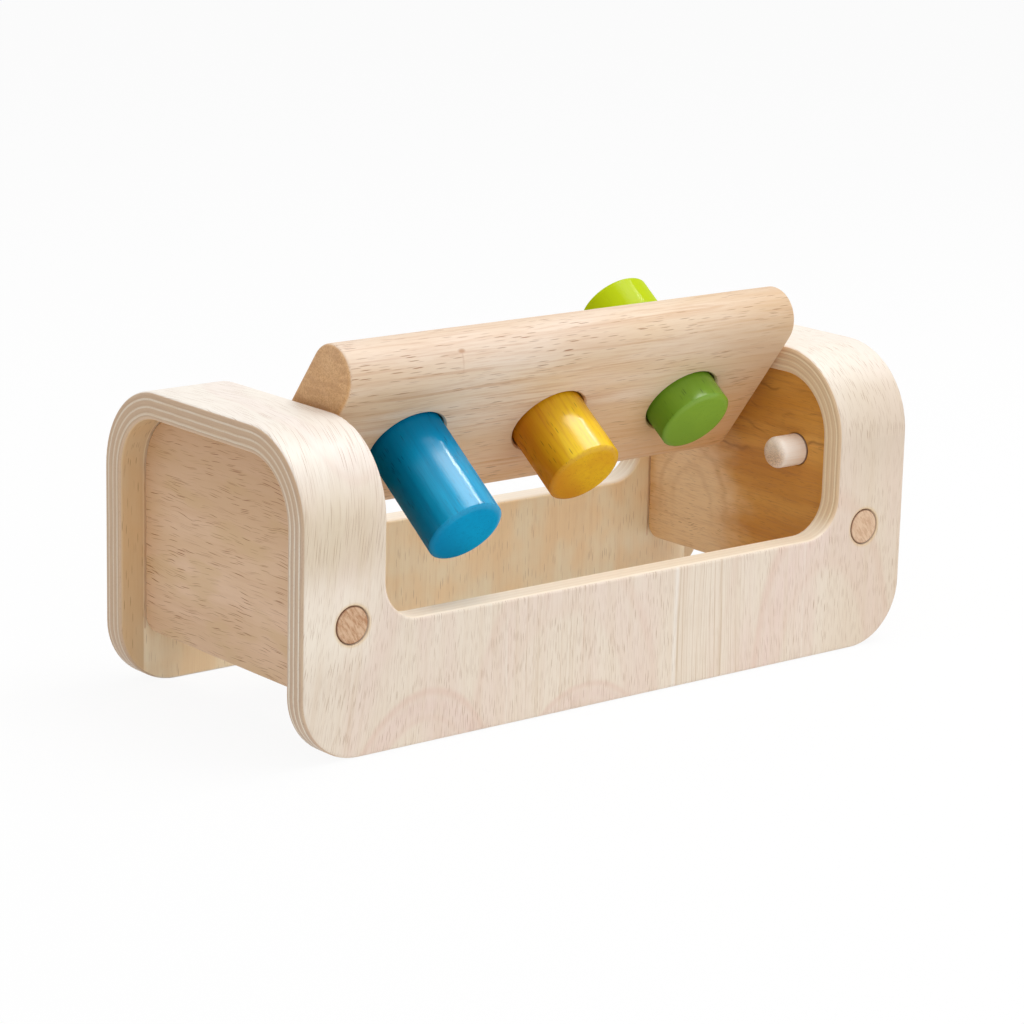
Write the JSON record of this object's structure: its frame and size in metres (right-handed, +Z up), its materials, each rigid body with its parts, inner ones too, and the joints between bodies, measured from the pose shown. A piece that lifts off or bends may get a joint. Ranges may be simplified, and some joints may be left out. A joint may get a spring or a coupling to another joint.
{
  "type": "peg pounding bench",
  "caption": "Wooden toddler's pounding bench: a bent-plywood shell with a wide window carries a tilting block that flips end over end, with coloured pegs that are knocked through it.",
  "frame": {"origin": "middle of the footprint, on the table face", "axes": "+X along the bench from left to right, +Y from the front to the rear, +Z up"},
  "size_m": [0.26, 0.113, 0.1261],
  "materials": {
    "ply": "clear matt lacquer on pale veneer",
    "panel": "clear matt lacquer on solid wood",
    "dowel": "clear matt lacquer on end grain",
    "pin": "sanded dowel",
    "block": "clear matt lacquer on solid wood",
    "rubber": "matt",
    "blue": "satin stain, grain showing",
    "yellow": "satin stain, grain showing",
    "green": "satin stain, grain showing"
  },
  "bodies": {
    "bench": {"ply_shell": "ply", "left_end_panel": "panel", "right_end_panel": "panel", "front_left_dowel": "dowel", "front_right_dowel": "dowel", "rear_left_dowel": "dowel", "rear_right_dowel": "dowel", "left_front_stop": "pin", "left_rear_stop": "pin", "right_front_stop": "pin", "right_rear_stop": "pin", "left_pivot_pin": "pin", "right_pivot_pin": "pin", "left_spacer": "pin", "right_spacer": "pin"},
    "block": {"peg_block": "block", "left_grip_ring": "rubber", "middle_grip_ring": "rubber", "right_grip_ring": "rubber"},
    "left_peg": {"blue_peg": "blue"},
    "middle_peg": {"yellow_peg": "yellow"},
    "right_peg": {"green_peg": "green"}
  },
  "joints": [
    {"name": "block_flip", "type": "hinge", "parent": "bench", "child": "block", "pos_m": [0, 0, 0.0843], "axis": [1, 0, 0], "range_deg": [-126.5, 53.5]},
    {"name": "left_peg_slide", "type": "slide", "parent": "block", "child": "left_peg", "axis": [0, 0.8039, 0.5948], "range_m": [0, 0.0428]},
    {"name": "middle_peg_slide", "type": "slide", "parent": "block", "child": "middle_peg", "axis": [0, 0.8039, 0.5948], "range_m": [-0.0152, 0.0276]},
    {"name": "right_peg_slide", "type": "slide", "parent": "block", "child": "right_peg", "axis": [0, 0.8039, 0.5948], "range_m": [-0.0294, 0.0134]}
  ]
}
